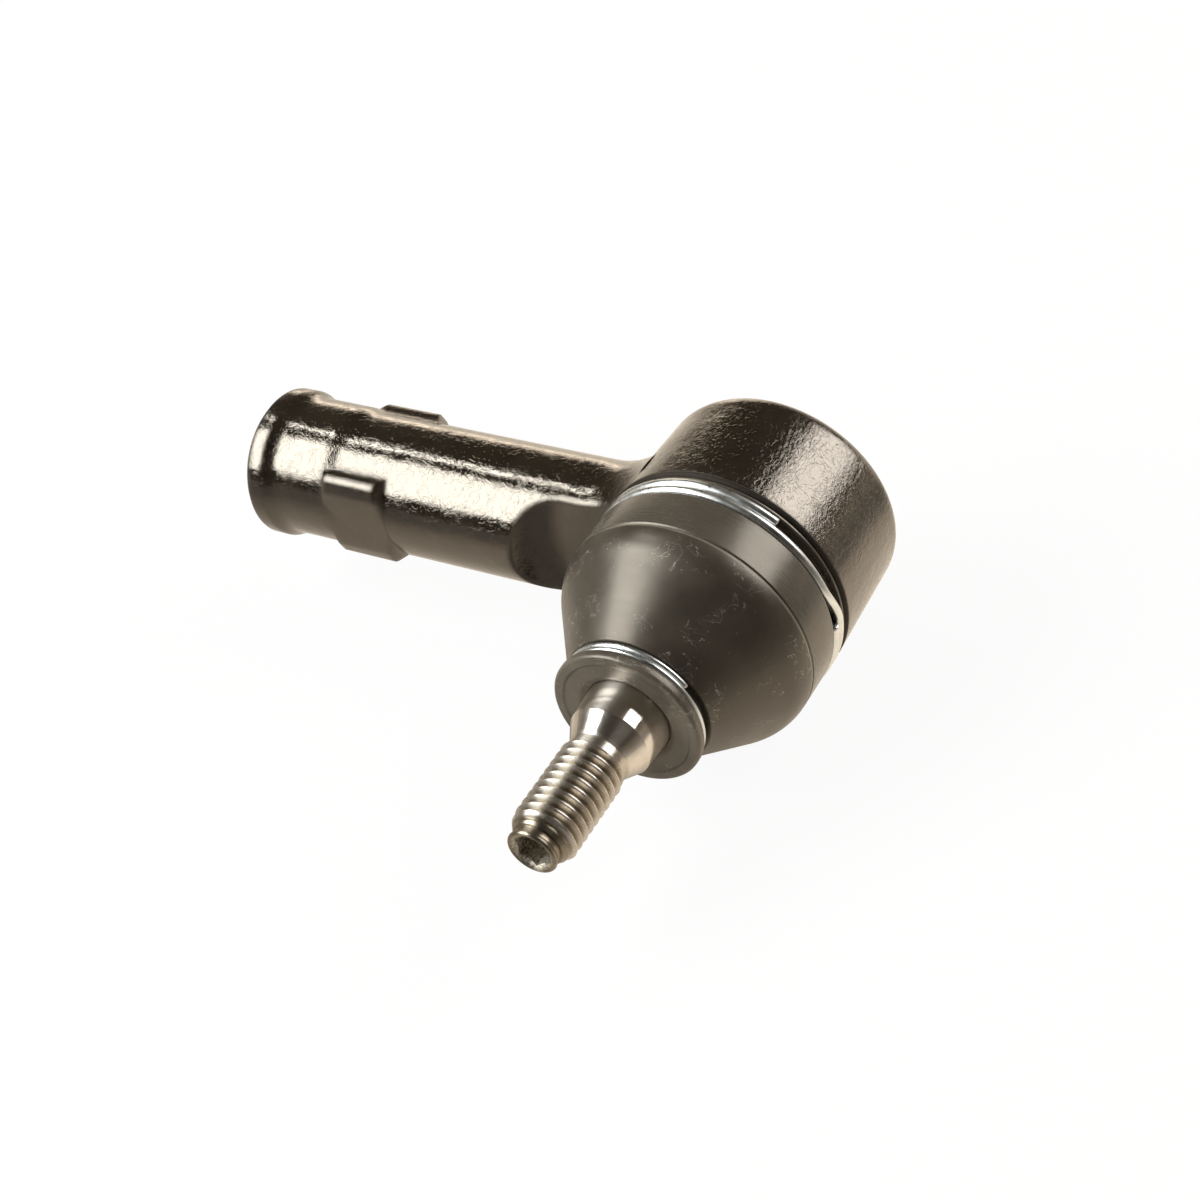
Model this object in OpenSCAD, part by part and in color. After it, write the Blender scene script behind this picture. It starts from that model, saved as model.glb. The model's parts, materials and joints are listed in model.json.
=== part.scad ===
// Outer tie rod end of a car's steering: a forged housing with a socket at one
// end and a threaded shank at the other, and a ball stud that swings and turns
// in the socket under a rubber dust boot.
//
// Frame: the origin is the ball's centre. The stud points along -Y, the shank
// along -X, and +Z is up when the part lies on its side.

/* [Ball stud] */
// Diameter of the ball
ball_d = 22; // [20:0.5:23]
// Diameter of the waist next to the ball
waist_d = 11; // [9:0.5:11.5]
// Distance from the ball's centre to where the waist starts to widen
waist_end = 17; // [15:0.5:19]
// Distance from the ball's centre to the large end of the taper
taper_start = 23; // [21:0.5:25]
// Distance from the ball's centre to the small end of the taper
taper_end = 40.4; // [39:0.2:45]
// Diameter at the small end of the taper
taper_small_d = 12.6; // [12:0.2:13.6]
// Length over which the taper's diameter changes by one
taper_ratio = 10; // [8:1:12]
// Length of the shoulder cone between the taper and the thread
shoulder_len = 3.2; // [2:0.2:5]
// Diameter of the undercut behind the thread
undercut_d = 9.2; // [8.4:0.1:9.6]
// Length of the undercut
undercut_len = 1.2; // [0.6:0.2:3]
// Outer diameter of the stud's thread
stud_thread_d = 10; // [10:1:12]
// Length of the stud's thread
stud_thread_len = 13.6; // [10:0.2:20]
// Length of the cone that leads into the thread
lead_len = 1.7; // [1:0.1:2.5]
// Diameter of the plain tip
tip_d = 7.7; // [7.4:0.1:8.2]
// Length of the plain tip
tip_len = 2; // [1:0.1:3]
// Width across flats of the hexagon socket in the tip
socket_af = 5; // [4:0.5:5.5]
// Depth of the hexagon socket
socket_depth = 5; // [3:0.5:8]

/* [Housing cup] */
// Diameter of the cup at its front face
cup_d = 40.1; // [39:0.1:44]
// Draft angle of the cup's side
cup_draft = 1.9; // [0:0.1:3]
// Distance from the ball's centre to the cup's front face
cup_front = 5.5; // [5:0.1:6.5]
// Radius of the rolled edge round the back rim
rim_round = 3; // [1.5:0.1:3.6]
// Thickness of the lip that is rolled over the closing plate
lip_wall = 0.8; // [0.5:0.1:1.4]
// Width by which the rolled lip covers the closing plate
lip_cover = 1.1; // [0.6:0.1:2]
// Length of the spigot that carries the boot
spigot_len = 5.4; // [5:0.1:7]
// Step from the cup's side in to the spigot's groove
groove_step = 2.85; // [2.6:0.05:3.1]
// Height of the retaining bead at the spigot's end
bead_height = 0.6; // [0.3:0.1:0.8]
// Length of the retaining bead
bead_len = 1.4; // [1:0.1:2]

/* [Socket and bearings] */
// Wall of the bearing races at the ball's equator
race_wall = 2.4; // [1.6:0.1:2.8]
// Angle from the stud's axis to the mouth's edge, seen from the ball's centre
mouth_angle = 62; // [60:0.5:63]
// Half angle of the mouth's flare
flare_angle = 33; // [28:1:36]
// Running clearance between the ball and its races
ball_clearance = 0.05; // [0.02:0.01:0.1]
// Clearance between a race and the housing
race_clearance = 0.04; // [0.02:0.01:0.1]
// Thickness of the pressure seat behind the ball
seat_floor = 1.2; // [0.8:0.1:1.6]
// Diameter of the grease hole in the pressure seat
grease_hole_d = 6; // [3:0.5:9]
// Room for the disc spring between the pressure seat and the closing plate
spring_room = 1.05; // [0.95:0.05:1.6]
// Thickness of the disc spring
spring_t = 0.5; // [0.3:0.1:0.8]
// Width of the seat's floor inside the disc spring
spring_lap = 1.5; // [0.5:0.1:2]
// Thickness of the closing plate
plate_t = 1.9; // [1.4:0.1:2.2]
// Width of the seat that the closing plate rests on
plate_seat = 1.9; // [1:0.1:2.2]

/* [Shank] */
// Diameter of the shank
shank_d = 21.9; // [20:0.1:24]
// Distance from the ball's centre to the shank's end
shank_len = 85; // [80:0.5:120]
// Radius of the fillet between the cup and the shank
neck_fillet = 15; // [10:0.5:17]
// Radius to which the shank is faced off in front of the cup
face_r = 27.4; // [25:0.2:30]
// Radius of the fillet at the edge of the faced area
face_fillet = 7; // [4:0.5:10]
// Width across the two wrench flats
flats_af = 22; // [22:0.1:23]
// Width of each flat
flats_face = 10.8; // [8:0.1:12]
// Width of the forged block that carries the flats
flats_width = 15.8; // [15:0.1:17]
// Draft angle of the block's sides next to the flats
flats_draft = 20; // [10:1:24]
// Radius of the block's four long edges
flats_round = 1.2; // [0.8:0.1:1.5]
// Length of the block with its run-outs
flats_len = 12.6; // [10:0.2:18]
// Length of the run-out towards the cup
flats_runout = 1.2; // [1:0.1:3.5]
// Length of the run-out towards the shank's end
flats_step = 1.5; // [0.6:0.1:3]
// Distance from the shank's end to the block
flats_offset = 14.7; // [10:0.1:16]
// Length over which the shank rises to the land at the end of the flats
flats_rise = 2.6; // [1.5:0.1:4]
// Diameter of the shank between the block and the end collar
land_d = 22.8; // [22.4:0.1:23.6]
// Diameter of the end collar
collar_d = 24.6; // [24:0.1:26]
// Length of the end collar
collar_len = 3.6; // [1:0.1:5]
// Radius of the fillet between the land and the collar
collar_fillet = 5; // [2:0.5:8]
// Chamfer at the shank's end
end_chamfer = 0.7; // [0.4:0.1:1.2]
// Nominal diameter of the thread in the shank
bore_d = 14; // [12:0.5:15]
// Depth of the thread in the shank
bore_depth = 46; // [30:1:50]
// Depth of the chamfer at the bore's mouth
bore_chamfer = 1.2; // [0.6:0.1:1.6]

/* [Boot] */
// Step from the cup's side in to the side of the boot's collar
boot_step = 0.1; // [0:0.1:0.6]
// Length of the boot's collar in front of its clamp ring
boot_collar_len = 7.3; // [5:0.1:9]
// Radius of the boot's shoulder
boot_shoulder_r = 8; // [5:0.5:11]
// Angle between the boot's cone and the stud's axis
boot_angle = 33.7; // [30:0.1:35]
// Wall thickness of the boot
boot_wall = 1.5; // [1.2:0.1:1.8]
// Distance from the ball's centre to the boot's outer lip
boot_lip = 35.8; // [34.5:0.1:37]
// Diameter of the flange round the outer lip
lip_d = 23.3; // [22:0.1:25]
// Thickness of the flange round the outer lip
lip_t = 1.75; // [1.4:0.05:2.2]
// Wall of the boot under its outer clamp ring
lip_neck_wall = 3.1; // [2.6:0.1:3.6]
// Thickness of the flange between the cup and the large clamp ring
boot_flange_t = 0.4; // [0.3:0.1:0.8]
// Gap between the rubber and what it sits on
rubber_gap = 0.15; // [0.1:0.05:0.3]

/* [Clamp rings] */
// Wire diameter of the large clamp ring
ring_wire = 1.55; // [1.2:0.05:1.8]
// Wall of rubber under the large clamp ring
ring_bed = 1.1; // [0.8:0.1:1.3]
// Wire diameter of the small clamp ring
small_wire = 0.9; // [0.7:0.05:1.1]
// Angle by which the large clamp ring falls short of two full turns
ring_gap = 55; // [30:5:90]
// Angle by which the small clamp ring falls short of two full turns
small_ring_gap = 25; // [15:5:90]
// Angle over which a ring's wire crosses from its first turn to its second
ring_cross = 22; // [12:1:30]
// Direction of the large clamp ring's first end, from the shank's far side
ring_turn = 53; // [0:1:359]
// Direction of the small clamp ring's first end, from the shank's far side
small_ring_turn = 35; // [0:1:359]

/* [Hidden] */
$fn = 96;
joint_gap = 0.02;
edge = 0.4;
arc_steps = 16;
wire_sides = 10;
wire_step = 5;
steel_black = [0.10, 0.09, 0.08];
steel_bright = [0.80, 0.78, 0.74];
zinc = [0.86, 0.87, 0.86];
rubber_black = [0.20, 0.18, 0.16];
nylon = [0.90, 0.88, 0.80];

// Radii and stations along the stud's axis, measured from the ball's centre
ball_r = ball_d / 2;
race_r = ball_r + ball_clearance;
bore_r = race_r + race_wall;
mouth_r = (race_r + 1) * sin(mouth_angle);
mouth_s = (race_r + 1) * cos(mouth_angle);
spigot_end = cup_front + spigot_len;
cup_r = cup_d / 2;
groove_r = cup_r - groove_step;
boot_r = cup_r - boot_step;
bead_r = groove_r + bead_height;
seat_back = race_r + seat_floor;
plate_front = seat_back + spring_room;
plate_back = plate_front + plate_t;
cup_back = plate_back + lip_wall;
plate_r = bore_r + plate_seat;
spring_r = bore_r - race_clearance - edge;
taper_large_d = taper_small_d + (taper_end - taper_start) / taper_ratio;
thread_start = taper_end + shoulder_len + undercut_len;
thread_end = thread_start + stud_thread_len;
tip_start = thread_end + lead_len;
stud_end = tip_start + tip_len;

// The boot and its rings
ring_back = cup_front + boot_flange_t + 2 * rubber_gap;
ring_front = ring_back + 2 * ring_wire;
bed_r = groove_r + rubber_gap + ring_bed;
ring_r = bed_r + rubber_gap + ring_wire / 2;
collar_end = ring_front + rubber_gap + boot_collar_len;
small_ring_front = boot_lip - lip_t - rubber_gap;
small_ring_back = small_ring_front - 2 * small_wire;
lip_neck_r = taper_large_d / 2 + lip_neck_wall;
small_ring_r = lip_neck_r + rubber_gap + small_wire / 2;

// The shank
shank_r = shank_d / 2;
neck_end = sqrt(pow(cup_r + neck_fillet, 2) - pow(shank_r + neck_fillet, 2));
neck_start = neck_end * cup_r / (cup_r + neck_fillet);
flats_end = shank_len - flats_offset;
flats_start = flats_end - flats_len;

// Turns a shape made along +Z so that it lies along the stud, towards its tip
module along_stud() {
    rotate([90, 0, 0]) children();
}

// Turns a shape made along +Z so that it lies along the shank, towards its end
module along_shank() {
    rotate([0, -90, 0]) children();
}

// Points on an arc, from one angle to another
function arc_points(centre, radius, from, to) =
    [for (i = [0 : arc_steps])
        let (a = from + (to - from) * i / arc_steps)
        centre + radius * [cos(a), sin(a)]];

// Radius of the stud's taper at a distance from the ball's centre
function taper_r_at(s) = taper_small_d / 2 + (taper_end - s) / (2 * taper_ratio);

// Radius of the cup's side at a distance from the ball's centre
function cup_r_at(s) = cup_r - (cup_front - s) * tan(cup_draft);

// ---- Housing ----

module cup_body() {
    back_r = cup_r_at(rim_round - cup_back);
    rotate_extrude()
        polygon(concat(
            [[0, cup_front], [0, -cup_back]],
            arc_points([back_r - rim_round, rim_round - cup_back], rim_round, -90, 0),
            [[cup_r_at(cup_front - edge), cup_front - edge], [cup_r - edge, cup_front]]));
}

module spigot() {
    bead_start = spigot_end - bead_len;
    rotate_extrude()
        polygon([[0, 0], [groove_r, 0], [groove_r, bead_start - bead_height],
                 [bead_r, bead_start], [bead_r, spigot_end - edge],
                 [bead_r - edge, spigot_end], [0, spigot_end]]);
}

// The round shank, with the land and the collar at its end
module shank_body() {
    land_r = land_d / 2;
    collar_r = collar_d / 2;
    collar_start = shank_len - collar_len;
    rise = acos(1 - (collar_r - edge / 2 - land_r) / collar_fillet);
    fillet_start = collar_start - collar_fillet * sin(rise);
    rotate_extrude()
        polygon(concat(
            [[0, 0], [shank_r, 0], [shank_r, flats_end - flats_rise], [land_r, flats_end]],
            arc_points([land_r + collar_fillet, fillet_start], collar_fillet, 180, 180 - rise),
            [[collar_r, collar_start + edge], [collar_r, shank_len - end_chamfer],
             [collar_r - end_chamfer, shank_len], [0, shank_len]]));
}

// The fillet that sweeps the shank out to the cup
module neck_blend() {
    reach = shank_r + neck_fillet;
    rotate_extrude()
        difference() {
            translate([0, neck_start]) square([reach, neck_end - neck_start]);
            translate([reach, neck_end]) circle(r = neck_fillet);
        }
}

// A block with two flats for a wrench: its sides draft away from the flats, its
// long edges are rounded and its ends run out into the shank
module wrench_flats() {
    face = flats_face / 2;
    rise = flats_af / 2;
    edge_x = flats_width / 2 - flats_round;
    edge_y = rise - flats_round / cos(flats_draft) - (edge_x - face) * tan(flats_draft);
    corner_r = sqrt(edge_x * edge_x + edge_y * edge_y) + flats_round;
    quarter = concat([[face, rise]],
                     arc_points([edge_x, edge_y], flats_round, 90 - flats_draft, 0));
    last = len(quarter) - 1;
    intersection() {
        translate([0, 0, flats_start])
            linear_extrude(height = flats_len)
                polygon(concat(
                    quarter,
                    [for (i = [last : -1 : 0]) [quarter[i][0], -quarter[i][1]]],
                    [for (i = [0 : last]) -quarter[i]],
                    [for (i = [last : -1 : 0]) [-quarter[i][0], quarter[i][1]]]));
        rotate_extrude()
            polygon([[0, flats_start], [shank_r - edge, flats_start],
                     [corner_r, flats_start + flats_runout],
                     [corner_r, flats_end - flats_step],
                     [shank_r - edge, flats_end], [0, flats_end]]);
    }
}

// Turned away in front of the cup: the boot's seat, faced out into the shank
module boot_seat_cut() {
    top = shank_r + 1;
    run = sqrt(pow(face_fillet, 2) - pow(face_fillet - top + cup_front, 2));
    start = asin((top - cup_front) / face_fillet - 1);
    difference() {
        rotate_extrude()
            polygon(concat(
                [[groove_r - 1, cup_front]],
                arc_points([face_r, cup_front + face_fillet], face_fillet, -90, start),
                [[groove_r - 1, top]]));
        spigot();
    }
}

// The ball's chamber, its mouth and the seat of the closing plate
module socket_cut() {
    flare_r = mouth_r + (spigot_end - mouth_s) * tan(flare_angle);
    shoulder_s = mouth_s - (bore_r - mouth_r);
    rotate_extrude()
        polygon([[0, -cup_back - 1], [plate_r - lip_cover, -cup_back - 1],
                 [plate_r - lip_cover, -plate_back], [plate_r, -plate_back],
                 [plate_r, -plate_front], [bore_r, -plate_front],
                 [bore_r, shoulder_s], [mouth_r, mouth_s],
                 [flare_r, spigot_end], [flare_r, spigot_end + 1], [0, spigot_end + 1]]);
}

module shank_bore() {
    mouth = bore_d / 2 + bore_chamfer;
    floor_z = shank_len - bore_depth;
    point = bore_d / 2 / tan(59);
    translate([0, 0, floor_z]) cylinder(d = bore_d, h = bore_depth + 1);
    translate([0, 0, floor_z - point]) cylinder(d1 = 0, d2 = bore_d, h = point);
    translate([0, 0, shank_len - bore_chamfer])
        cylinder(r1 = bore_d / 2, r2 = mouth, h = bore_chamfer);
}

module housing() {
    color(steel_black)
        difference() {
            union() {
                along_stud() cup_body();
                along_stud() spigot();
                along_shank() shank_body();
                along_shank() neck_blend();
                along_shank() wrench_flats();
            }
            along_stud() socket_cut();
            along_stud() boot_seat_cut();
            along_shank() shank_bore();
        }
}

// ---- Inside the cup ----

module closing_plate() {
    r = plate_r - joint_gap;
    dish_r = plate_r / 3;
    dish = plate_t / 4;
    color(zinc)
        along_stud() rotate_extrude()
            polygon([[0, dish - plate_back], [dish_r, dish - plate_back],
                     [dish_r + 2 * dish, joint_gap - plate_back], [r, joint_gap - plate_back],
                     [r, -plate_front - joint_gap], [0, -plate_front - joint_gap]]);
}

module front_race() {
    r = bore_r - race_clearance;
    shoulder_s = mouth_s - (bore_r - mouth_r) - race_clearance;
    tip_s = mouth_s - race_clearance;
    color(nylon)
        along_stud() difference() {
            rotate_extrude()
                polygon([[race_r - 2, joint_gap], [r, joint_gap], [r, shoulder_s],
                         [mouth_r, tip_s], [race_r - 2, tip_s]]);
            sphere(r = race_r);
            cylinder(r = race_r - 2, h = 3 * ball_r, center = true);
        }
}

module pressure_seat() {
    r = bore_r - race_clearance;
    color(nylon)
        along_stud() difference() {
            translate([0, 0, -seat_back]) cylinder(r = r, h = seat_back - joint_gap);
            sphere(r = race_r);
            cylinder(d = grease_hole_d, h = 3 * ball_d, center = true);
        }
}

// A conical disc spring that loads the seat from the closing plate
module preload_spring() {
    back = -plate_front + joint_gap;
    front = -seat_back - joint_gap;
    inner_r = grease_hole_d / 2 + spring_lap;
    color(steel_bright)
        along_stud() rotate_extrude()
            polygon([[inner_r, front - spring_t], [inner_r, front],
                     [spring_r, back + spring_t], [spring_r, back]]);
}

// ---- Boot and clamp rings ----

// The outer side of the boot's shoulder and cone, moved inwards by a wall
function dome_points(inset) =
    let (r = boot_shoulder_r - inset,
         centre = [boot_r - boot_shoulder_r, collar_end],
         top = centre + r * [cos(boot_angle), sin(boot_angle)],
         end = small_ring_back - rubber_gap - inset)
    concat(arc_points(centre, r, 0, boot_angle),
           [[top[0] - (end - top[1]) * tan(boot_angle), end]]);

module dust_boot() {
    base = cup_front + rubber_gap;
    flange_r = ring_r - ring_wire / 4;
    inner_r = boot_r - boot_wall;
    bore_top = taper_r_at(boot_lip) + rubber_gap;
    bore_back = small_ring_back - rubber_gap - boot_wall;
    bore_bottom = taper_r_at(bore_back) + rubber_gap;
    inside = dome_points(boot_wall);
    color(rubber_black)
        along_stud() rotate_extrude()
            polygon(concat(
                [[groove_r + rubber_gap, base], [flange_r, base],
                 [flange_r, ring_back - rubber_gap], [bed_r, ring_back - rubber_gap],
                 [bed_r, ring_front + rubber_gap], [boot_r, ring_front + rubber_gap]],
                dome_points(0),
                [[lip_neck_r, small_ring_back - rubber_gap],
                 [lip_neck_r, small_ring_front + rubber_gap],
                 [lip_d / 2, boot_lip - lip_t], [lip_d / 2, boot_lip - edge],
                 [lip_d / 2 - edge, boot_lip], [bore_top, boot_lip],
                 [bore_bottom, bore_back]],
                [for (i = [len(inside) - 1 : -1 : 0]) inside[i]],
                [[inner_r, spigot_end + 1], [bead_r + rubber_gap, spigot_end + rubber_gap],
                 [bead_r + rubber_gap, spigot_end - bead_len - rubber_gap],
                 [groove_r + rubber_gap, spigot_end - bead_len - bead_height - rubber_gap]]));
}

// A wire wound almost twice round, both turns flat and one crossing where they meet
module wire_ring(radius, wire, back, first_end, gap) {
    turns = 720 - gap;
    count = round(turns / wire_step);
    centre_r = radius;
    pitch = wire + joint_gap;
    flat = 360 - gap;
    cross = min(gap, ring_cross);
    function rise(a) = a < flat ? 0 : a > flat + cross ? 1 : (1 - cos(180 * (a - flat) / cross)) / 2;
    points = [for (i = [0 : count])
        let (a = turns * i / count, s = back + wire / 2 + pitch * rise(a))
        for (j = [0 : wire_sides - 1])
            let (b = 360 * j / wire_sides, r = centre_r + wire / 2 * cos(b))
            [r * cos(first_end + a), r * sin(first_end + a), s + wire / 2 * sin(b)]];
    faces = concat(
        [[for (j = [0 : wire_sides - 1]) j]],
        [[for (j = [wire_sides - 1 : -1 : 0]) count * wire_sides + j]],
        [for (i = [0 : count - 1], j = [0 : wire_sides - 1])
            let (k = (j + 1) % wire_sides, low = i * wire_sides, high = low + wire_sides)
            [low + j, high + j, high + k, low + k]]);
    polyhedron(points = points, faces = faces, convexity = 6);
}

module housing_clamp_ring() {
    color(zinc)
        along_stud() wire_ring(ring_r, ring_wire, ring_back, ring_turn, ring_gap);
}

module stud_clamp_ring() {
    color(zinc)
        along_stud()
            wire_ring(small_ring_r, small_wire, small_ring_back, small_ring_turn, small_ring_gap);
}

// ---- Ball stud ----

module stud_stem() {
    flat_r = undercut_d / 2;
    thread_r = stud_thread_d / 2;
    tip_r = tip_d / 2;
    rotate_extrude()
        polygon([[0, 0], [waist_d / 2, 0], [waist_d / 2, waist_end],
                 [taper_large_d / 2, taper_start], [taper_small_d / 2, taper_end],
                 [flat_r, taper_end + shoulder_len], [flat_r, thread_start],
                 [thread_r, thread_start + thread_r - flat_r], [thread_r, thread_end],
                 [tip_r, tip_start], [tip_r, stud_end - edge], [tip_r - edge, stud_end],
                 [0, stud_end]]);
}

module hexagon_socket() {
    corner_r = socket_af / sqrt(3);
    translate([0, 0, stud_end - socket_depth])
        cylinder(r = corner_r, h = socket_depth + 1, $fn = 6);
    translate([0, 0, stud_end - socket_depth - corner_r / 2])
        cylinder(r1 = 0, r2 = socket_af / 2, h = corner_r / 2);
    translate([0, 0, stud_end - 0.5])
        cylinder(r1 = corner_r - 0.4, r2 = corner_r + 0.2, h = 0.6);
}

module ball_stud() {
    flat_s = ball_r * 0.93;
    color(steel_bright)
        along_stud() difference() {
            union() {
                sphere(r = ball_r);
                stud_stem();
            }
            hexagon_socket();
            translate([0, 0, -flat_s - ball_r]) cylinder(r = ball_r, h = ball_r);
        }
}

housing();
closing_plate();
front_race();
pressure_seat();
preload_spring();
dust_boot();
housing_clamp_ring();
stud_clamp_ring();
ball_stud();
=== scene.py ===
import json
import math

import bmesh
import bpy
import numpy as np
from mathutils import Matrix, Vector


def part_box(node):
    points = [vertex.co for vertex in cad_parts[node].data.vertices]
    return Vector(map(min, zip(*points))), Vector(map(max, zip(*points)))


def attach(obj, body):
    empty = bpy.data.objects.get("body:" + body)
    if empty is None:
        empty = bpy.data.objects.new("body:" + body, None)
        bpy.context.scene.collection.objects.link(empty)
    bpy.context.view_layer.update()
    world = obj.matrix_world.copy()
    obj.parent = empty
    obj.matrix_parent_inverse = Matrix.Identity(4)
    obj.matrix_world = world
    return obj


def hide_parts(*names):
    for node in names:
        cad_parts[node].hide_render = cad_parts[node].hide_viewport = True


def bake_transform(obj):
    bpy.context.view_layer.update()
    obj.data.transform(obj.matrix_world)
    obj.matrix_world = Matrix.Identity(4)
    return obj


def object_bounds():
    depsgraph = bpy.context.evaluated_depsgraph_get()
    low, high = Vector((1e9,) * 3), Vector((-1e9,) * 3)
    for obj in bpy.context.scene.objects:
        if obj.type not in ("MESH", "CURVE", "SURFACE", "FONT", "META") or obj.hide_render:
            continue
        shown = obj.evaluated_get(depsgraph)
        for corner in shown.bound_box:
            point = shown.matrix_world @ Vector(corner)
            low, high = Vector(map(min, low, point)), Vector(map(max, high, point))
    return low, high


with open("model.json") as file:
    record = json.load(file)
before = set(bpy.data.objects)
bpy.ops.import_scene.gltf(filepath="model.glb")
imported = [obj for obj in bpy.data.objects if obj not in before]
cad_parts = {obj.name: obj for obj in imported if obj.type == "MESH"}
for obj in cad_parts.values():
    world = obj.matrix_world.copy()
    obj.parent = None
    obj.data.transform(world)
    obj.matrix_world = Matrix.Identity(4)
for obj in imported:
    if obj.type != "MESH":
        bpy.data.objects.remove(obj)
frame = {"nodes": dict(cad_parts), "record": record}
cad_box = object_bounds()
record = frame["record"]
nodes = frame["nodes"]

# ---------------------------------------------------------------- places on the part
#
# The scene is in metres, with the ball's centre at the origin, the stud along -Y and the shank
# along -X. The names below are in millimetres: s is a distance from the ball's centre along the
# stud, and r is a distance from the stud's axis.

MM = 0.001
GAP = 0.15  # room that the rubber keeps to the steel


def mount(name):
    return next(m for m in record["mounts"] if m["name"] == name)


def reach(node):
    """Where a node starts and ends along the stud, and how far it reaches from the axis."""
    low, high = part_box(node)
    return -high.y / MM, -low.y / MM, high.z / MM


stud_thread = mount("stud_thread")
crest_r = stud_thread["dims"]["r_mm"]
thread_mid = -stud_thread["pos_m"][1] / MM
thread_low = thread_mid - stud_thread["dims"]["length_mm"] / 2
thread_high = thread_mid + stud_thread["dims"]["length_mm"] / 2
bore_thread = mount("shank_thread")

ball_back, tip_s, ball_r = reach("ball_stud")
boot_base, boot_tip, collar_r = reach("dust_boot")
large_back, large_front, large_outer_r = reach("housing_clamp_ring")
small_back, small_front, small_outer_r = reach("stud_clamp_ring")
cup_front = boot_base - GAP
cup_r = reach("housing")[2]

PITCH = 1.5
undercut_s = 43.6
undercut_r = 4.6
SOCKET_FLATS = 5.0
SOCKET_DEPTH = 5.0
COLLAR_LENGTH = 7.3
crease_s = large_front + GAP + COLLAR_LENGTH


# ---------------------------------------------------------------- materials

class Nodes:
    """Short hand for building one node tree."""

    def __init__(self, tree, coordinates="Object"):
        self.tree = tree
        self.where = tree.nodes.new("ShaderNodeTexCoord").outputs[coordinates]

    def add(self, kind, **values):
        node = self.tree.nodes.new("ShaderNode" + kind)
        for key, value in values.items():
            if key in node.inputs:
                self.put(node.inputs[key], value)
            else:
                setattr(node, key, value)
        return node

    def put(self, socket, value):
        if isinstance(value, bpy.types.NodeSocket):
            self.tree.links.new(value, socket)
        else:
            socket.default_value = value

    def noise(self, size_mm, detail, rough, distortion=0.0, where=None):
        """Noise whose largest blots are about size_mm wide."""
        node = self.add("TexNoise", Scale=1 / (size_mm * MM), Detail=detail,
                        Roughness=rough, Distortion=distortion)
        self.put(node.inputs["Vector"], where or self.where)
        return node.outputs["Fac"]

    def stretch(self, scale, turn=(0, 0, 0)):
        node = self.add("Mapping", Scale=scale, Rotation=turn)
        self.put(node.inputs["Vector"], self.where)
        return node.outputs["Vector"]

    def ramp(self, fac, stops, interpolation="EASE"):
        node = self.add("ValToRGB")
        node.color_ramp.interpolation = interpolation
        for element, (place, colour) in zip(node.color_ramp.elements, stops):
            element.position = place
            element.color = (*colour, 1)
        self.put(node.inputs["Fac"], fac)
        return node.outputs["Color"]

    def span(self, fac, low, high, from_low=0.0, from_high=1.0):
        """Goes from low to high while fac goes from from_low to from_high, and no further."""
        node = self.add("MapRange")
        for socket, value in zip(node.inputs, (fac, from_low, from_high, low, high)):
            self.put(socket, value)
        return node.outputs["Result"]

    def math(self, operation, a, b=0.0):
        node = self.add("Math", operation=operation)
        self.put(node.inputs[0], a)
        self.put(node.inputs[1], b)
        return node.outputs[0]

    def plus(self, a, b):
        return self.math("ADD", a, b)

    def times(self, a, b):
        return self.math("MULTIPLY", a, b)

    def mix(self, fac, a, b):
        node = self.add("Mix", data_type="RGBA")
        for socket, value in zip((node.inputs[0], node.inputs[6], node.inputs[7]), (fac, a, b)):
            self.put(socket, value)
        return node.outputs[2]

    def blend(self, fac, a, b):
        node = self.add("MixShader")
        for socket, value in zip(node.inputs, (fac, a, b)):
            self.put(socket, value)
        return node.outputs[0]

    def axes(self):
        return self.add("SeparateXYZ", Vector=self.where).outputs

    def along(self):
        """Distance from the ball's centre along the stud, in mm."""
        return self.times(self.axes()[1], -1 / MM)

    def distance(self, a, b):
        return self.math("SQRT", self.plus(self.times(a, a), self.times(b, b)))

    def radius(self):
        """Distance from the stud's axis, in mm."""
        x, _, z = self.axes()
        return self.times(self.distance(x, z), 1 / MM)

    def past(self, value, start, full):
        """0 before start, 1 past full."""
        return self.span(value, 0.0, 1.0, start, full)

    def band(self, value, middle, core, edge):
        """1 within core of the middle, 0 farther than edge from it."""
        away = self.math("ABSOLUTE", self.math("SUBTRACT", value, middle))
        return self.span(away, 1.0, 0.0, core, edge)

    def bumps(self, layers, normal=None):
        """Lays heights over each other, each given with its depth in mm."""
        for height, depth_mm in layers:
            node = self.add("Bump", Strength=1.0, Distance=depth_mm * MM, Height=height)
            if normal is not None:
                self.put(node.inputs["Normal"], normal)
            normal = node.outputs["Normal"]
        return normal


class Material(Nodes):
    """A node material, with the texture's coordinates on the object."""

    def __init__(self, name):
        self.material = bpy.data.materials.new(name)
        self.material.use_nodes = True
        super().__init__(self.material.node_tree)
        self.shader = self.tree.nodes["Principled BSDF"]

    def set(self, **values):
        for key, value in values.items():
            self.put(self.shader.inputs[key.replace("_", " ")], value)
        return self.material

    def surface(self, shader):
        self.put(self.tree.nodes["Material Output"].inputs["Surface"], shader)
        return self.material


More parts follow.
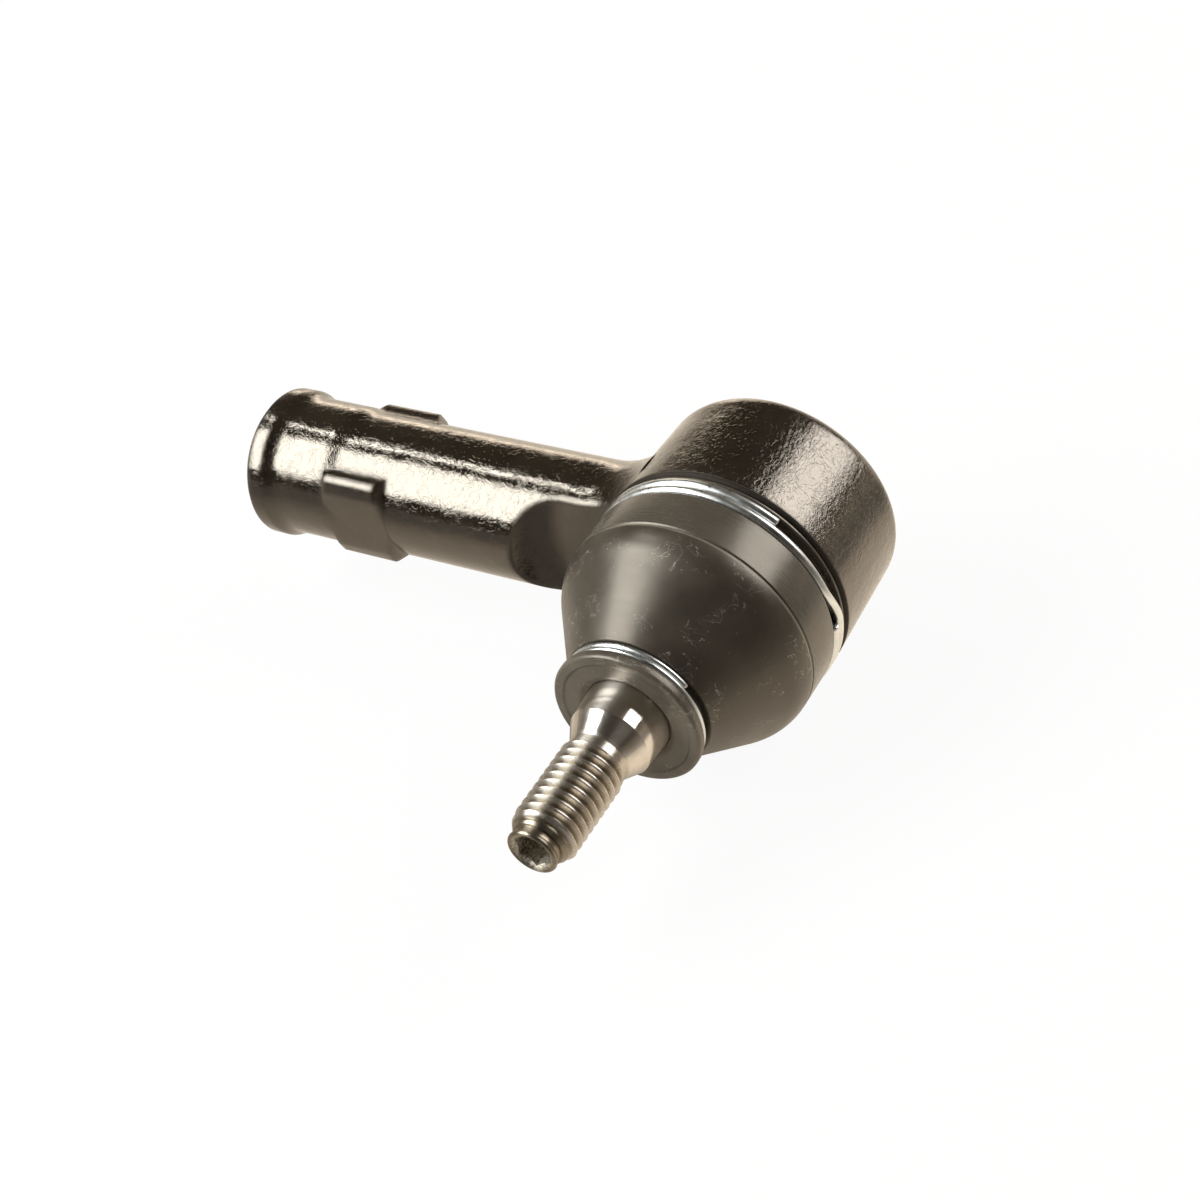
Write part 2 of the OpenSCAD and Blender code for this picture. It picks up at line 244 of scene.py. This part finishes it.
def coated_steel():
    """Thick gloss paint on a forging: orange peel all over, and wrinkled on the cup's side."""
    m = Material("black_coated_steel")
    x = m.times(m.axes()[0], 1 / MM)
    rim_s = cup_front - 0.2
    rim_r = cup_r - 0.35
    broad = m.noise(5.0, detail=2.0, rough=0.5)
    patch = m.noise(1.8, detail=3.0, rough=0.62, distortion=1.2)
    grain = m.noise(0.42, detail=2.0, rough=0.6, distortion=0.5)
    speck = m.past(m.noise(0.6, detail=1.0, rough=0.4), 0.68, 0.76)
    crack = m.band(m.noise(1.8, detail=2.0, rough=0.6, distortion=1.2), 0.5, 0.0, 0.03)
    wrinkle = m.noise(0.9, detail=3.0, rough=0.65, distortion=0.8,
                      where=m.stretch((1.7, 0.7, 1.7), (0.5, 0.4, 0.9)))
    on_cup = m.past(x, -26.0, -16.0)
    wrinkled = m.past(x, -14.0, -2.0)
    edges = m.add("Bevel", samples=6, Radius=1.5 * MM)
    bump = m.bumps([(broad, 0.11), (patch, 0.052), (crack, -0.008), (grain, 0.003),
                    (speck, 0.015), (m.times(wrinkle, wrinkled), 0.055)],
                   edges.outputs["Normal"])
    # Painted shade: along the cup's front rim next to the ring the coat's specular level drops,
    # and its roughness rises there.
    rim_dull_and_painted_shade = m.times(m.band(m.along(), rim_s, 0.4, 0.7), m.band(m.radius(), rim_r, 0.5, 0.8))
    colour = m.ramp(broad, [(0.25, (0.008, 0.006, 0.004)), (0.75, (0.014, 0.010, 0.0065))])
    rough = m.plus(m.span(patch, 0.06, 0.15, 0.3, 0.7), m.times(on_cup, 0.05))
    rough = m.math("MAXIMUM", rough, m.times(rim_dull_and_painted_shade, 0.6))
    return m.set(Base_Color=colour, Roughness=rough, Normal=bump, IOR=2.05,
                 Specular_IOR_Level=m.span(rim_dull_and_painted_shade, 0.5, 0.12),
                 Specular_Tint=(1.0, 0.88, 0.745, 1))


def boot_rubber():
    """Satin rubber: rubbed round the stud's axis, lighter on the lip, on the collar dust and
    painted light, with lint on it.
    """
    m = Material("boot_rubber")
    s = m.along()
    cloud = m.noise(7.0, detail=3.0, rough=0.6)
    skin = m.noise(0.18, detail=2.0, rough=0.5)
    rubbed = m.noise(0.9, detail=3.0, rough=0.6, where=m.stretch((0.22, 5, 0.22)))
    lip = m.times(m.past(s, boot_tip - 1.8, boot_tip - 0.4), cloud)
    # Painted highlight: a light band along the rise just past the crease.
    crease = m.times(m.band(s, crease_s + 0.32, 0.1, 0.3), cloud)
    fibre = m.band(m.noise(4.5, detail=2.0, rough=0.6, distortion=2.5), 0.5, 0.0, 0.006)
    lint = m.times(m.times(fibre, m.past(m.noise(6.0, detail=1.0, rough=0.5), 0.54, 0.56)), 0.85)
    dust = m.span(m.noise(0.45, detail=1.0, rough=0.5), 0.0, 0.6, 0.76, 0.80)
    # The collar is painted lighter: partly dust, partly painted light.
    on_collar = m.past(s, crease_s + 0.47, crease_s + 0.07)
    colour = m.ramp(cloud, [(0.3, (0.033, 0.0265, 0.0195)), (0.7, (0.046, 0.0375, 0.028))])
    for amount, tint in ((lip, (0.13, 0.112, 0.088, 1)), (crease, (0.26, 0.22, 0.17, 1)),
                         (lint, (0.45, 0.41, 0.34, 1)), (dust, (0.30, 0.27, 0.21, 1)),
                         (m.times(on_collar, 0.7), (0.082, 0.070, 0.053, 1))):
        colour = m.mix(amount, colour, tint)
    rough = m.span(m.plus(cloud, m.times(rubbed, 0.7)), 0.29, 0.42, 0.55, 1.15)
    rough = m.math("SUBTRACT", rough, m.times(on_collar, 0.07))
    bump = m.bumps([(skin, 0.005), (rubbed, 0.006), (cloud, 0.08)])
    return m.set(Base_Color=colour, Roughness=rough, Normal=bump, IOR=1.68,
                 Specular_Tint=(1.0, 0.88, 0.74, 1))


def clamp_wire():
    m = Material("clamp_wire")
    patch = m.noise(2.2, detail=3.0, rough=0.6)
    colour = m.ramp(patch, [(0.3, (0.62, 0.635, 0.62)), (0.7, (0.74, 0.745, 0.73))])
    return m.set(Base_Color=colour, Metallic=1.0, Roughness=m.span(patch, 0.24, 0.36, 0.3, 0.7),
                 Normal=m.bumps([(patch, 0.003)]))


def stud_steel():
    """Turned steel: a polished lobe and one that the tool marks spread along the axis."""
    m = Material("stud_steel")
    s, r = m.along(), m.radius()
    turned = m.noise(0.8, detail=2.0, rough=0.5, where=m.stretch((0.1, 9, 0.1)))
    patch = m.noise(1.8, detail=3.0, rough=0.6)
    crumb = m.noise(0.35, detail=3.0, rough=0.7)
    socket_r = SOCKET_FLATS / 2
    in_socket = m.times(m.past(r, socket_r + 0.8, socket_r + 0.4),
                        m.past(s, tip_s - 8.0, tip_s - 6.0))
    on_thread = m.past(s, undercut_s - 0.6, undercut_s)
    # Painted shade: the thread's roots are painted dark brown.
    painted_root_shade = m.times(on_thread, m.past(r, crest_r - 0.3, crest_r - 0.8))
    colour = m.ramp(patch, [(0.3, (0.66, 0.60, 0.525)), (0.7, (0.77, 0.71, 0.64))])
    colour = m.mix(m.times(on_thread, 0.2), colour, (0.41, 0.355, 0.275, 1))
    colour = m.mix(m.times(painted_root_shade, 0.75), colour, (0.19, 0.15, 0.09, 1))
    colour = m.mix(in_socket, colour, m.ramp(crumb, [(0.35, (0.28, 0.24, 0.18)),
                                                     (0.7, (0.86, 0.79, 0.69))]))
    bump = m.bumps([(turned, 0.0012), (m.times(crumb, in_socket), 0.12)])
    rough = m.plus(m.span(patch, 0.07, 0.16, 0.3, 0.7), m.times(on_thread, 0.15))
    rough = m.math("MAXIMUM", rough, m.times(in_socket, 0.5))
    m.set(Base_Color=colour, Metallic=1.0, Roughness=rough, Normal=bump)
    round_axis = m.add("Tangent", direction_type="RADIAL", axis="Y").outputs["Tangent"]
    spread = m.add("BsdfPrincipled", Metallic=1.0, Roughness=0.42, Anisotropic=0.9)
    for key, value in {"Base Color": colour, "Normal": bump, "Anisotropic Rotation": 0.25,
                       "Tangent": round_axis}.items():
        m.put(spread.inputs[key], value)
    return m.surface(m.blend(m.span(on_thread, 0.32, 0.6), m.shader.outputs[0],
                             spread.outputs[0]))


def zinc_steel():
    m = Material("zinc_plated_steel")
    patch = m.noise(1.4, detail=4.0, rough=0.6)
    colour = m.ramp(patch, [(0.3, (0.40, 0.40, 0.385)), (0.7, (0.50, 0.495, 0.47))])
    return m.set(Base_Color=colour, Metallic=1.0, Roughness=m.span(patch, 0.28, 0.45),
                 Normal=m.bumps([(patch, 0.02)]))


def plastic():
    m = Material("bearing_plastic")
    patch = m.noise(2.5, detail=3.0, rough=0.5)
    colour = m.ramp(patch, [(0.3, (0.74, 0.71, 0.62)), (0.7, (0.80, 0.77, 0.69))])
    return m.set(Base_Color=colour, Roughness=m.span(patch, 0.35, 0.5))


def spring_steel():
    m = Material("spring_steel")
    patch = m.noise(1.2, detail=3.0, rough=0.5)
    colour = m.ramp(patch, [(0.3, (0.30, 0.30, 0.30)), (0.7, (0.38, 0.37, 0.36))])
    return m.set(Base_Color=colour, Metallic=1.0, Roughness=m.span(patch, 0.25, 0.4))


coat = coated_steel()
rubber = boot_rubber()
wire = clamp_wire()
bright = stud_steel()
nylon = plastic()

for node, material in {"housing": coat, "closing_plate": zinc_steel(), "front_race": nylon,
                       "pressure_seat": nylon, "preload_spring": spring_steel(),
                       "dust_boot": rubber, "housing_clamp_ring": wire,
                       "stud_clamp_ring": wire, "ball_stud": bright}.items():
    mesh = nodes[node].data
    mesh.materials.clear()
    mesh.materials.append(material)


# ---------------------------------------------------------------- mesh tools

def make(name, verts, faces, material, sharp_deg=35.0):
    mesh = bpy.data.meshes.new(name)
    mesh.from_pydata([tuple(v) for v in verts], [], faces)
    mesh.validate()
    mesh.materials.append(material)
    mesh.shade_smooth()
    mesh.set_sharp_from_angle(angle=math.radians(sharp_deg))
    piece = bpy.data.objects.new(name, mesh)
    bpy.context.scene.collection.objects.link(piece)
    return piece


def join(name, verts, faces, material, sharp_deg):
    """Makes a piece and merges the points that lie on each other."""
    piece = make(name, verts, faces, material, sharp_deg)
    bm = bmesh.new()
    bm.from_mesh(piece.data)
    bmesh.ops.remove_doubles(bm, verts=bm.verts, dist=1e-6)
    bmesh.ops.recalc_face_normals(bm, faces=bm.faces)
    bm.to_mesh(piece.data)
    bm.free()
    piece.data.set_sharp_from_angle(angle=math.radians(sharp_deg))
    return piece


def stud_point(radius, s, angle):
    """A point at a radius, a distance along the stud from the ball, and an angle, in mm."""
    return (radius * math.cos(angle) * MM, -s * MM, radius * math.sin(angle) * MM)


def shank_point(radius, s, angle):
    """The same round the shank's axis, with s along the shank from the ball."""
    return (-s * MM, radius * math.cos(angle) * MM, radius * math.sin(angle) * MM)


def skin(rows, count, wrapped):
    """Faces between rows of points; a wrapped row runs back to its own start."""
    faces = []
    for i in range(rows - 1):
        for k in range(count if wrapped else count - 1):
            side = (k + 1) % count
            here, above = i * count, (i + 1) * count
            faces.append((here + k, here + side, above + side, above + k))
    return faces


def fillet(points, steps=5):
    """Rounds each corner (s, r, radius) of a profile; radius 0 keeps it sharp."""
    out = []
    for i, (s, r, radius) in enumerate(points):
        here = np.array([s, r], float)
        if radius <= 0 or i in (0, len(points) - 1):
            out.append(tuple(here))
            continue
        back = np.array(points[i - 1][:2], float) - here
        ahead = np.array(points[i + 1][:2], float) - here
        lb, la = np.linalg.norm(back), np.linalg.norm(ahead)
        back, ahead = back / lb, ahead / la
        half = math.acos(max(-1, min(1, float(back @ ahead)))) / 2
        cut = min(radius / math.tan(half), lb * 0.49, la * 0.49)
        centre = here + (back + ahead) / np.linalg.norm(back + ahead) * cut / math.cos(half)
        a, b = here + back * cut - centre, here + ahead * cut - centre
        for k in range(steps + 1):
            t = k / steps
            mix = a * (1 - t) + b * t
            out.append(tuple(centre + mix / np.linalg.norm(mix) * np.linalg.norm(a)))
    return out


def lathe(name, profile, material, count=144):
    """A body of revolution round the stud's axis from (s, r) points in mm."""
    verts = [stud_point(r, s, math.tau * k / count) for s, r in profile for k in range(count)]
    return make(name, verts, skin(len(profile), count, True), material)


# ---------------------------------------------------------------- threads

THREAD_CREST = 0.06  # share of the half pitch
THREAD_FLANK = 0.78
THREAD_EDGE_DEG = 32.0


def thread_dip(s, angle):
    """Depth of the thread at a place, from 0 at the crest to 1 at the root."""
    phase = s / PITCH - angle / math.tau
    away = abs((phase + 0.5) % 1.0 - 0.5) * 2
    t = min(1.0, max(0.0, (away - THREAD_CREST) / THREAD_FLANK))
    rounded = t * t * (3 - 2 * t)
    return rounded * 0.8 + t * 0.2


def circle(count):
    """Angles all the way round, with the first one repeated at the end."""
    return [math.tau * k / (count - 1) for k in range(count)]


def thread_rows(start, end, steps, angles, radius_at):
    """Rows that climb with the helix, as (r, s) at each angle, cut off at start and end."""
    rows = []
    for turn in range(int(start / PITCH) - 2, int(end / PITCH) + 2):
        for j in range(steps):
            row = []
            for angle in angles:
                s = min(end, max(start, (turn + j / steps + angle / math.tau) * PITCH))
                row.append((radius_at(s, angle), s))
            places = [s for _, s in row]
            if max(places) > start + 1e-6 and min(places) < end - 1e-6:
                rows.append(row)
    return rows


def threaded_piece(name, rows, angles, point, material):
    verts = [point(r, s, angle) for row in rows for (r, s), angle in zip(row, angles)]
    return join(name, verts, skin(len(rows), len(angles), False), material, THREAD_EDGE_DEG)


# ---------------------------------------------------------------- ball stud

THREAD_DEPTH = 0.92
LEAD_IN = 1.7
neck_s, neck_r = 17.0, 5.5
taper_s = 23.0
shoulder_s, shoulder_r = 40.4, 6.3
taper_r = shoulder_r + (shoulder_s - taper_s) / 20  # the taper is 1:10 on the diameter
tip_r = 3.85
tip_neck_r = tip_r - 0.38
run_out_s = thread_low - 0.4
lead_end = thread_high + LEAD_IN


def stud_thread_radius(s, angle):
    """Radius of the thread, inside what the undercut and the lead-in cone leave of the blank."""
    run_out = undercut_r + (s - run_out_s) * 1.1
    lead_in = crest_r - (s - thread_high) * (crest_r - tip_r) / (lead_end - thread_high)
    return min(crest_r, run_out, lead_in, crest_r - THREAD_DEPTH * thread_dip(s, angle))


def hexagon_radius(angle):
    sector = math.radians(60)
    return SOCKET_FLATS / 2 / math.cos((angle + sector / 2) % sector - sector / 2)


def ball_rows(count, steps=48):
    """From the flat on the ball's back round to the stud's neck."""
    first = math.acos(max(-1.0, min(1.0, ball_back / ball_r)))
    meet = math.asin(neck_r / ball_r)
    turns = [first + (meet - first) * i / steps for i in range(steps + 1)]
    return [[(0.0, ball_back)] * count] + [[(ball_r * math.sin(a), ball_r * math.cos(a))] * count
                                           for a in turns]


def socket_rows(angles, mouth_r):
    """The hexagon, from the bevel at its mouth to the drill's point at its bottom."""
    bevel_s = tip_s - 0.2
    bottom_s = tip_s - SOCKET_DEPTH
    hexagon = [hexagon_radius(a) for a in angles]
    return [[(h, bevel_s - (mouth_r - h) * 0.9) for h in hexagon],
            [(h, bottom_s) for h in hexagon],
            [(h * 0.97, bottom_s - 0.1) for h in hexagon],
            [(0.0, bottom_s - 1.4)] * len(angles)]


def ball_stud():
    """One forging, turned and rolled: ball, neck, taper, undercut, thread, tip and socket."""
    angles = circle(97)
    count = len(angles)
    mouth_r = hexagon_radius(math.radians(30)) + 0.22
    waist = fillet([(ball_r * math.cos(math.asin(neck_r / ball_r)), neck_r, 0),
                    (neck_s, neck_r, 2.0), (taper_s, taper_r, 0.8),
                    (shoulder_s, shoulder_r, 0.35), (undercut_s, undercut_r, 0.5),
                    (run_out_s, undercut_r, 0)])[1:]
    tip = fillet([(lead_end + 0.05, tip_r - 0.3, 0), (lead_end + 0.7, tip_neck_r, 0.8),
                  (tip_s - 0.45, tip_r, 0.3), (tip_s, tip_r - 0.25, 0.3),
                  (tip_s - 0.2, mouth_r, 0)])
    rows = ball_rows(count)
    rows += [[(r, s)] * count for s, r in waist]
    rows += thread_rows(run_out_s + 0.1, lead_end, 18, angles, stud_thread_radius)
    rows += [[(stud_thread_radius(lead_end, a), lead_end) for a in angles]]
    rows += [[(r, s)] * count for s, r in tip]
    rows += socket_rows(angles, mouth_r)
    return threaded_piece("ball_stud_detail", rows, angles, stud_point, bright)


piece = ball_stud()
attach(piece, "stud")
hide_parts("ball_stud")


# ---------------------------------------------------------------- wire rings

STRAND_ROOM = 0.01
END_EASE = 0.86
END_TURN_DEG = 0.35


def wire_ring(name, node, first_end_deg, gap_deg, cross_deg=22.0, sides=20, step_deg=2.5):
    """Two turns of round wire, flat but for one crossing, in the CAD ring's place."""
    back, front, outer_r = reach(node)
    wire_r = (front - back) / 4 - STRAND_ROOM
    centre_r = outer_r - wire_r
    turns, flat = 720.0 - gap_deg, 360.0 - gap_deg
    count = int(round(turns / step_deg))
    rows = []
    for i in range(count + 1):
        a = turns * i / count
        way = min(1.0, max(0.0, (a - flat) / min(cross_deg, gap_deg)))
        rise = (1 - math.cos(math.pi * way)) / 2
        s = back + wire_r + (front - back - 2 * wire_r) * rise
        rows.append((math.radians(first_end_deg + a), s, wire_r))
    eased, end_turn = wire_r * END_EASE, math.radians(END_TURN_DEG)
    rows.insert(0, (rows[0][0] - end_turn, rows[0][1], eased))
    rows.append((rows[-1][0] + end_turn, rows[-1][1], eased))
    verts = []
    for a, s, r in rows:
        for j in range(sides):
            b = math.tau * j / sides
            verts.append(stud_point(centre_r + r * math.cos(b), s + r * math.sin(b), a))
    faces = skin(len(rows), sides, True)
    faces.append(tuple(range(sides - 1, -1, -1)))
    faces.append(tuple(range(len(verts) - sides, len(verts))))
    ring = join(name, verts, faces, wire, 50.0)
    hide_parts(node)
    return ring


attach(wire_ring("large_ring_wire", "housing_clamp_ring", 53, 55), "housing")
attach(wire_ring("small_ring_wire", "stud_clamp_ring", 35, 80), "boot_end")


# ---------------------------------------------------------------- dust boot

WALL = 1.5
SHOULDER_ROUND = 8.0
CONE_DEG = 33.7
large_bed_r = large_outer_r - (large_front - large_back) / 2 - GAP
small_bed_r = small_outer_r - (small_front - small_back) / 2 - GAP
foot_r = collar_r - 0.25
spigot_r, spigot_step_r = 17.2 + GAP, 17.8 + GAP
spigot_step_s, spigot_end_s = 9.5 - GAP, 10.9 + GAP
lip_r = 11.65
lip_bore_r = 6.64
split_s = 21.5


def cone_radius(s):
    """Outer radius of the boot's shoulder and cone."""
    centre_r = collar_r - SHOULDER_ROUND
    turn = math.radians(CONE_DEG)
    end = crease_s + SHOULDER_ROUND * math.sin(turn)
    if s <= crease_s:
        return collar_r
    if s <= end:
        return centre_r + math.sqrt(max(0.0, SHOULDER_ROUND ** 2 - (s - crease_s) ** 2))
    return centre_r + SHOULDER_ROUND * math.cos(turn) - (s - end) * math.tan(turn)


def cone_points(first, last, step, inset=0.0):
    count = max(2, int(abs(last - first) / step))
    places = [first + (last - first) * i / count for i in range(count + 1)]
    return [(s, cone_radius(s) - inset) for s in places]


def boot_skirt():
    """Foot, groove for the large ring, collar, crease and the start of the cone."""
    inside = collar_r - WALL
    foot = fillet([(split_s, cone_radius(split_s) - WALL, 0), (crease_s, inside, 0),
                   (spigot_end_s + 0.85, inside, 0.4), (spigot_end_s, spigot_step_r, 0),
                   (spigot_step_s, spigot_step_r, 0), (spigot_step_s - 0.6, spigot_r, 0),
                   (boot_base, spigot_r, 0), (boot_base, foot_r, 0.12),
                   (large_back - GAP, foot_r, 0.12), (large_back - GAP, large_bed_r, 0.1),
                   (large_front + GAP, large_bed_r, 0.1), (large_front + GAP, collar_r, 0.45),
                   (crease_s - 0.22, collar_r, 0.08), (crease_s, collar_r - 0.28, 0.1),
                   (crease_s + 0.16, collar_r - 0.06, 0.06),
                   (crease_s + 0.4, collar_r - 0.02, 0)], 4)
    return lathe("boot_skirt", foot + cone_points(crease_s + 0.6, split_s, 0.35), rubber)


def boot_cone(end):
    """The cone down to its end, the neck for the small ring, and the lip on the stud's taper."""
    inside_s = end - WALL
    outside = cone_points(split_s, end - 0.4, 0.35)[:-1]
    lip = fillet([(end - 0.4, cone_radius(end - 0.4), 0), (end, cone_radius(end - 0.1), 0.25),
                  (end, small_bed_r, 0.1), (small_front + GAP, small_bed_r, 0.1),
                  (small_front + GAP, lip_r, 0.5), (boot_tip, lip_r, 0.55),
                  (boot_tip, lip_r - 1.5, 0.2), (boot_tip - 0.2, lip_r - 1.8, 0.25),
                  (boot_tip - 0.2, lip_bore_r + 0.96, 0.8), (boot_tip - 0.75, lip_bore_r, 0.15),
                  (inside_s, lip_bore_r + 0.26, 0.3), (inside_s, cone_radius(end) - WALL, 0)], 4)
    inside = cone_points(inside_s - 0.2, split_s, 0.6, WALL)
    return lathe("boot_cone", outside + lip + inside, rubber)


cone_end_s = small_back - GAP
skirt = boot_skirt()
cone = boot_cone(cone_end_s)
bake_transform(skirt)
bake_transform(cone)
for piece in (skirt, cone):
    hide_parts("dust_boot")


# ---------------------------------------------------------------- shank thread

BORE_THREAD_DEPTH = 0.8
BORE_CHAMFER = 1.2


def shank_thread():
    """The thread that stands in from the bore's wall, fading out at both ends."""
    bury = 0.02  # how far the thread's roots lie inside the wall
    wall = bore_thread["dims"]["r_mm"]
    top = -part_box("housing")[0].x / MM - BORE_CHAMFER
    bottom = top - bore_thread["dims"]["length_mm"] + 4
    angles = circle(73)

    def radius_at(s, angle):
        fade = min(s - bottom, top + 0.3 - s) * 1.2
        return max(wall - BORE_THREAD_DEPTH * (1 - thread_dip(s, angle)), wall + bury - fade)

    rows = [[(wall + bury, bottom)] * len(angles)]
    rows += thread_rows(bottom, top, 8, angles, radius_at)
    rows += [[(wall + bury, top + 0.2)] * len(angles)]
    return threaded_piece("shank_thread_turns", rows, angles, shank_point, coat)


piece = shank_thread()
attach(piece, "housing")


# ---------------------------------------------------------------- camera

def aim(obj, place, target, roll_deg=0.0):
    """Points an object's -Z axis from a place at a target, turned about that line."""
    ahead = (Vector(target) - Vector(place)).normalized()
    right = ahead.cross(Vector((0, 0, 1))).normalized()
    up = right.cross(ahead)
    roll = math.radians(roll_deg)
    side = right * math.cos(roll) + up * math.sin(roll)
    top = side.cross(ahead)
    turn = Matrix((side, top, -ahead)).transposed().to_4x4()
    obj.matrix_world = Matrix.Translation(Vector(place)) @ turn


# In front of the boot, above it and to the cup's side, tilted as the photograph is.
CAMERA_PLACE = (0.1320, -0.2026, 0.2030)
CAMERA_TARGET = (-0.0237, -0.0050, -0.0106)
CAMERA_ROLL_DEG = -13.53

camera = bpy.data.objects.new("camera", bpy.data.cameras.new("camera"))
bpy.context.scene.collection.objects.link(camera)
camera.data.sensor_width = 36
camera.data.lens = 63.13
camera.data.clip_start = 0.01
aim(camera, CAMERA_PLACE, CAMERA_TARGET, CAMERA_ROLL_DEG)
bpy.context.scene.camera = camera


# ---------------------------------------------------------------- floor

FLOOR_HALF = 3.0
FLOOR_WHITE = 0.93
FLOOR_MIRRORED = 0.8
GLOW = 1.25  # the glow's strength is at most 1.2 times this, where 1 is plain white
GLOW_SLOPE = 4.0
NEAR_MIDDLE, NEAR_REACH = (-0.025, 0.0), (0.085, 0.060)
BEHIND_WAY = (-0.61, 0.79)
BOOT_SHADE_MIDDLE = (-0.018, -0.027)


def floor_glow(m):
    """How bright a floor the part's gloss mirrors: painted light, not lit by the lamps.

    It is fitted to what the photograph's gloss shows: bright near the part and behind the shank,
    dim farther off, brighter toward the back of the cup, and dark in a patch under the boot.
    """
    x, y, _ = m.axes()

    def away(middle, reach_x=1.0, reach_y=1.0):
        return m.distance(m.math("DIVIDE", m.math("SUBTRACT", x, middle[0]), reach_x),
                          m.math("DIVIDE", m.math("SUBTRACT", y, middle[1]), reach_y))

    slope = m.plus(m.times(m.plus(x, y), GLOW_SLOPE), 1.0)
    slope = m.math("MINIMUM", m.math("MAXIMUM", slope, 0.45), 1.2)
    near = m.span(away(NEAR_MIDDLE, *NEAR_REACH), 1.0, 0.12, 0.95, 1.75)
    behind = m.plus(m.times(x, BEHIND_WAY[0]), m.times(y, BEHIND_WAY[1]))
    behind = m.past(behind, 0.030, 0.080)
    # Painted shadow: a dark patch in the glow under the boot.
    painted_boot_shadow = m.span(away(BOOT_SHADE_MIDDLE), 0.1, 1.0, 0.013, 0.036)
    glow = m.times(slope, m.math("MAXIMUM", near, behind))
    return m.times(m.times(glow, painted_boot_shadow), GLOW)


def stage_floor():
    low_z = cad_box[0][2]
    corners = [(x * FLOOR_HALF, y * FLOOR_HALF, low_z)
               for x, y in ((-1, -1), (1, -1), (1, 1), (-1, 1))]
    mesh = bpy.data.meshes.new("floor")
    mesh.from_pydata(corners, [], [(0, 1, 2, 3)])
    m = Material("floor")
    m.tree.nodes.remove(m.shader)
    path = m.add("LightPath").outputs
    seen = m.math("MAXIMUM", path["Is Camera Ray"], path["Is Transmission Ray"])
    matt = m.add("BsdfDiffuse", Color=(0.82, 0.80, 0.77, 1)).outputs[0]
    glow = m.add("Emission", Color=(1.0, 0.86, 0.68, 1), Strength=floor_glow(m)).outputs[0]
    white = m.add("Emission", Color=(1, 1, 1, 1), Strength=1.0).outputs[0]
    mirrored = m.blend(m.times(path["Is Glossy Ray"], FLOOR_MIRRORED), matt, glow)
    mesh.materials.append(m.surface(m.blend(m.times(seen, FLOOR_WHITE), mirrored, white)))
    floor = bpy.data.objects.new("floor", mesh)
    bpy.context.scene.collection.objects.link(floor)


stage_floor()


# ---------------------------------------------------------------- lamps and room

LIT_POINT = Vector((-0.02, -0.01, 0.0))


def softbox(name, way, distance, width, height, radiance, colour=(1, 1, 1), roll=0.0,
            shift=(0.0, 0.0)):
    """A rectangular soft light in a direction from the part's middle, moved in its plane."""
    lamp = bpy.data.lights.new(name, "AREA")
    lamp.shape = "RECTANGLE"
    lamp.size, lamp.size_y = width, height
    lamp.energy = radiance * math.pi * width * height
    lamp.color = colour
    obj = bpy.data.objects.new(name, lamp)
    bpy.context.scene.collection.objects.link(obj)
    aim(obj, LIT_POINT + Vector(way).normalized() * distance, LIT_POINT, roll)
    obj.matrix_world = obj.matrix_world @ Matrix.Translation((*shift, 0.0))


# The lamps stand where the highlights in the photograph put them.
KEY = {"way": (-0.61, -0.34, 0.69), "distance": 1.0, "roll": 49.0, "colour": (0.96, 1.0, 1.0)}
softbox("left_softbox", width=0.60, height=0.92, radiance=9.8, shift=(0.0, -0.19), **KEY)
softbox("top_strip", width=0.36, height=0.055, radiance=26.0, shift=(-0.06, 0.58), **KEY)
softbox("right_softbox", (0.65, 0.60, 0.435), 1.0, 0.62, 0.57, 6.0, roll=-24.0,
        shift=(0.05, 0.165))
softbox("back_card", (-0.53, 0.845, 0.060), 0.8, 0.26, 0.14, 3.8, (1.0, 0.88, 0.72))


def room(world):
    """White where the camera looks, and a dim room for gloss and for light on the part.

    The room is lighter near the floor and dark in front.
    """
    world.use_nodes = True
    m = Nodes(world.node_tree, "Generated")
    _, forward, up = m.axes()
    walls = world.node_tree.nodes["Background"]
    m.put(walls.inputs["Color"], m.ramp(up, [(0.10, (0.34, 0.29, 0.225)),
                                             (0.36, (0.088, 0.075, 0.058))], "LINEAR"))
    m.put(walls.inputs["Strength"], m.span(forward, 0.22, 1.0, -0.5, 0.1))
    white = m.add("Background", Color=(1, 1, 1, 1), Strength=1.0).outputs[0]
    path = m.add("LightPath").outputs
    seen = m.math("MAXIMUM", path["Is Camera Ray"], path["Is Transmission Ray"])
    m.put(world.node_tree.nodes["World Output"].inputs["Surface"],
          m.blend(seen, walls.outputs[0], white))


bpy.context.scene.world = bpy.data.worlds.new("world")
room(bpy.context.scene.world)
bpy.context.scene.view_settings.view_transform = "Standard"
